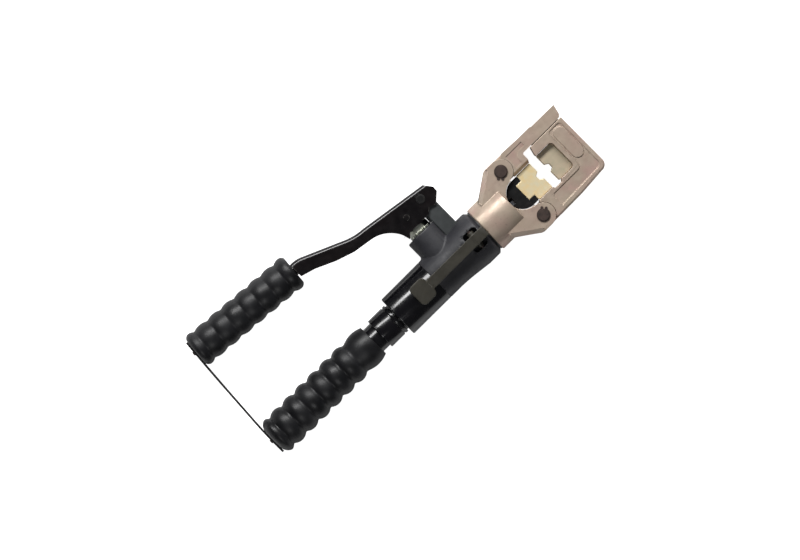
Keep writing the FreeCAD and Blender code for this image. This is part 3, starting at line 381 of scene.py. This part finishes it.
def finish_cad_nodes():
    """Give every CAD node its slot's finish, and break the sharp edges of those that show."""
    made = {slot: build(slot, *values) for slot, (build, *values) in FINISHES.items()}
    for part in frame["record"]["subparts"]:
        node = nodes[part["node"]]
        material = made[part["material_slot"]].material
        if not node.data.materials:
            node.data.materials.append(material)
        for index in range(len(node.data.materials)):
            node.data.materials[index] = material
    for name, width in EDGE_BREAK.items():
        node = nodes[name]
        weld = node.modifiers.new("weld", "WELD")
        weld.merge_threshold = 1e-6
        flat = node.modifiers.new("flat", "DECIMATE")
        flat.decimate_type = "DISSOLVE"
        flat.angle_limit = math.radians(0.4)
        bevel = node.modifiers.new("edges", "BEVEL")
        bevel.width = width
        bevel.segments = 3
        bevel.limit_method = "ANGLE"
        bevel.angle_limit = math.radians(28)
        bevel.harden_normals = True
        bevel.use_clamp_overlap = False
    return made


# ---------------------------------------------------------------- rubber grips
def arc(start, end, radius, steps):
    """Points after start up to end on the short arc between them that bulges outwards."""
    chord = end - start
    side = Vector((chord.y, -chord.x)).normalized()
    centre = (start + end) / 2 + side * math.sqrt(max(radius ** 2 - chord.length_squared / 4, 0))
    first = math.atan2(start.y - centre.y, start.x - centre.x)
    last = math.atan2(end.y - centre.y, end.x - centre.x)
    while last > first:
        last -= 2 * math.pi
    angles = [first + (last - first) * (step + 1) / steps for step in range(steps)]
    return [centre + Vector((math.cos(angle), math.sin(angle))) * radius for angle in angles]


def bulge_radius(pitch, rise):
    """The radius of an arc that rises by rise between two points a pitch apart."""
    return (pitch ** 2 / 4 + rise ** 2) / (2 * rise)


def softened(points, passes, keep):
    """Round off the sharp valleys of a closed profile a little, leaving the points listed in keep."""
    for _ in range(passes):
        moved = list(points)
        for index, point in enumerate(points):
            if index not in keep:
                before, after = points[index - 1], points[(index + 1) % len(points)]
                moved[index] = point * 0.5 + (before + after) * 0.25
        points = moved
    return points


def grip_profile(dome, first_valley, rings, pitch, crest, valley, ending, bore, wall, hole):
    """The closed outline of a ringed grip as (along, radius) in millimetres, from the hole in its end."""
    outline = [Vector((0, hole)), *(Vector((0, hole + (dome[0].y - hole) * i / 4)) for i in range(1, 5))]
    outline += arc(dome[0], dome[1], dome[2], 14)
    outline += arc(outline[-1], Vector((first_valley, valley)), dome[3], 10)
    for _ in range(rings):
        start = outline[-1]
        outline += arc(start, start + Vector((pitch, 0)), bulge_radius(pitch, crest - valley), 20)
    for end, radius in ending:
        outline += arc(outline[-1], end, radius, 14)
    closing = len(outline)
    outline += [Vector((outline[-1].x, bore)), Vector((wall, bore)), Vector((wall, hole))]
    keep = set(range(6)) | set(range(closing - 1, closing + 3))
    return softened(outline, 3, keep)


def revolved(name, profile, matrix, seam=0.0, steps=128):
    """Turn a closed profile about x; seam raises the mould's parting line at both sides, in millimetres."""
    vertices, faces = [], []
    for step in range(steps):
        angle = 2 * math.pi * step / steps
        ridge = seam * math.exp(-(math.sin(angle - math.pi / 4) / 0.03) ** 2)
        for point in profile:
            outer = point.y > profile[-2].y + 2
            radius = point.y + (ridge if outer else 0)
            spot = Vector((point.x, radius * math.cos(angle), radius * math.sin(angle))) * MM
            vertices.append(matrix @ spot)
    count = len(profile)
    for step in range(steps):
        this, following = step * count, (step + 1) % steps * count
        for index in range(count):
            ahead = (index + 1) % count
            faces.append((this + index, this + ahead, following + ahead, following + index))
    return smooth_piece(name, vertices, faces)


LEVER_GRIP_END = at(6.9, 116.7)
LEVER_GRIP_TILT = math.radians(-4.77)


def make_grips(made):
    """The two ringed rubber grips, on the reservoir's handle and on the pump lever."""
    main = grip_profile(
        dome=(Vector((0, 10.5)), Vector((7.2, 20.65)), 10.6, 9), first_valley=12.6, rings=6, pitch=17.1,
        crest=20.9, valley=17.2, ending=[(Vector((140.2, 18.3)), 28), (Vector((141, 17.4)), 0.9)],
        bore=14.96, wall=8, hole=1.6,
    )
    lever = grip_profile(
        dome=(Vector((0, 15)), Vector((5.2, 18.95)), 6, 9), first_valley=11.3, rings=6, pitch=17.2,
        crest=18.65, valley=16.4, ending=[(Vector((122, 19.05)), 12), (Vector((127.5, 15.6)), 6.5)],
        bore=6.55, wall=6, hole=1.6,
    )
    lever_place = Matrix.Translation(LEVER_GRIP_END) @ Matrix.Rotation(LEVER_GRIP_TILT, 4, "Z")
    for name, profile, place, body, node in (
        ("main_grip_rubber", main, Matrix.Translation(AXIS), "root", "main_grip"),
        ("lever_grip_rubber", lever, lever_place, "pump_lever", "lever_grip"),
    ):
        piece = revolved(name, profile, place, seam=0.12)
        piece.data.materials.append(made["rubber_grip"].material)
        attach(piece, body)
        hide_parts(node)


# ---------------------------------------------------------------- keeper strap
STRAP_ROUTE = [
    at(6.75, 129.8), at(4.15, 98), at(2.3, 70), at(0.5, 40), at(-1.15, 12), at(-1.15, -11), at(-0.95, -15.6),
]
STRAP_WIDTH = 0.005
STRAP_THICK = 0.0022
STRAP_CORNER = 0.0008


def spline_points(route):
    """Points along the smooth NURBS line that has the route as its control points."""
    curve = bpy.data.curves.new("strap_line", "CURVE")
    curve.dimensions = "3D"
    curve.resolution_u = 16
    spline = curve.splines.new("NURBS")
    spline.points.add(len(route) - 1)
    for point, place in zip(spline.points, route):
        point.co = (*place, 1)
    spline.order_u = 3
    spline.use_endpoint_u = True
    line = bpy.data.objects.new("strap_line", curve)
    mesh = bpy.data.meshes.new_from_object(line)
    points = [vertex.co.copy() for vertex in mesh.vertices]
    bpy.data.objects.remove(line)
    bpy.data.meshes.remove(mesh)
    return points


def strap_section():
    """The rounded section of the strap as (across, out) offsets in metres."""
    section = []
    for quarter, (side, face) in enumerate(((1, 1), (-1, 1), (-1, -1), (1, -1))):
        middle = Vector((side * (STRAP_WIDTH / 2 - STRAP_CORNER), face * (STRAP_THICK / 2 - STRAP_CORNER)))
        for step in range(4):
            angle = math.pi / 2 * (quarter + step / 3)
            section.append(middle + Vector((math.cos(angle), math.sin(angle))) * STRAP_CORNER)
    return section


def make_strap(made):
    """The flat rubber band between the ends of the grips."""
    points = spline_points(STRAP_ROUTE)
    section = strap_section()
    vertices, faces = [], []
    for index, point in enumerate(points):
        way = (points[min(index + 1, len(points) - 1)] - points[max(index - 1, 0)]).normalized()
        out = way.cross(Vector((0, 0, 1)))
        near_end = min(index, len(points) - 1 - index)
        taper = min(1.0, 0.72 + 0.14 * near_end)
        for offset in section:
            vertices.append(point + Vector((0, 0, 1)) * offset.x * taper + out * offset.y)
    count = len(section)
    for index in range(len(points) - 1):
        for step in range(count):
            ahead = (step + 1) % count
            first, second = index * count, (index + 1) * count
            faces.append((first + step, first + ahead, second + ahead, second + step))
    faces.append(tuple(range(count))[::-1])
    faces.append(tuple((len(points) - 1) * count + step for step in range(count)))
    piece = smooth_piece("keeper_strap_band", vertices, faces)
    piece.data.materials.append(made["rubber_strap"].material)
    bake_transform(piece)
    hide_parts("keeper_strap")


make_camera()
make_stage()
made = finish_cad_nodes()
make_strap(made)
make_grips(made)
